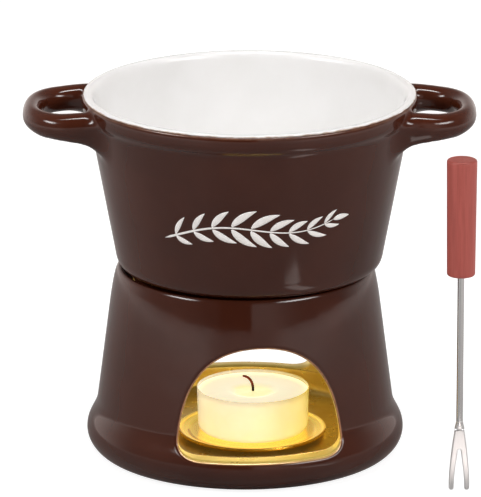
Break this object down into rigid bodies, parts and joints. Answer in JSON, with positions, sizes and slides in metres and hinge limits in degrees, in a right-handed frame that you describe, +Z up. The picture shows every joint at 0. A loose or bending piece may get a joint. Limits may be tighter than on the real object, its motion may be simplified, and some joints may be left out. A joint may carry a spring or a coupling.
{
  "type": "tealight fondue pot set",
  "caption": "Small glazed ceramic fondue pot with loop handles on an arched tealight stand, with a tealight on a gold saucer and a pronged dipping fork.",
  "frame": {"origin": "on the pot's axis, on the table; the stand's axis lies 1.5 mm to its left", "axes": "+Z up along the axis of the pot and the stand; +X to the viewer's right along the pot's two handles; -Y towards the viewer, the side of the stand's front arch"},
  "size_m": [0.1528, 0.113, 0.125],
  "materials": {
    "brown_glaze": "glossy dark chocolate-brown glaze on stoneware",
    "white_glaze": "glossy warm white glaze",
    "gold_lustre": "fired gold lustre, mirror-like but slightly uneven",
    "gold_metal": "polished gold-coloured stamped metal",
    "clear_cup": "thin translucent heat-proof cup",
    "cream_wax": "translucent cream paraffin wax, lit from inside",
    "tab_steel": "thin stamped steel",
    "burnt_wick": "charred braided cotton",
    "red_handle": "satin stained red-brown turned wood",
    "fork_steel": "polished stainless steel"
  },
  "bodies": {
    "stand": {"stand": "brown_glaze", "stand_gold_lustre": "gold_lustre"},
    "pot": {"pot_body": "brown_glaze", "pot_white_glaze": "white_glaze"},
    "saucer": {"candle_saucer": "gold_metal"},
    "candle": {"candle_cup": "clear_cup", "candle_wax": "cream_wax", "wick_tab": "tab_steel", "candle_wick": "burnt_wick"},
    "fork": {"fork_handle": "red_handle", "fork_shaft": "fork_steel", "fork_neck": "fork_steel", "fork_head": "fork_steel"}
  },
  "joints": [
    {"name": "pot_lift", "type": "slide", "parent": "stand", "child": "pot", "axis": [0, 0, 1], "range_m": [0, 0.04]},
    {"name": "saucer_out", "type": "slide", "parent": "stand", "child": "saucer", "axis": [0.0566, -0.952, 0.3007], "range_m": [0, 0.09]},
    {"name": "candle_lift", "type": "slide", "parent": "saucer", "child": "candle", "axis": [0, 0, 1], "range_m": [0, 0.03]},
    {"name": "fork_lift", "type": "slide", "parent": "stand", "child": "fork", "axis": [0, 0, 1], "range_m": [0, 0.05]}
  ]
}
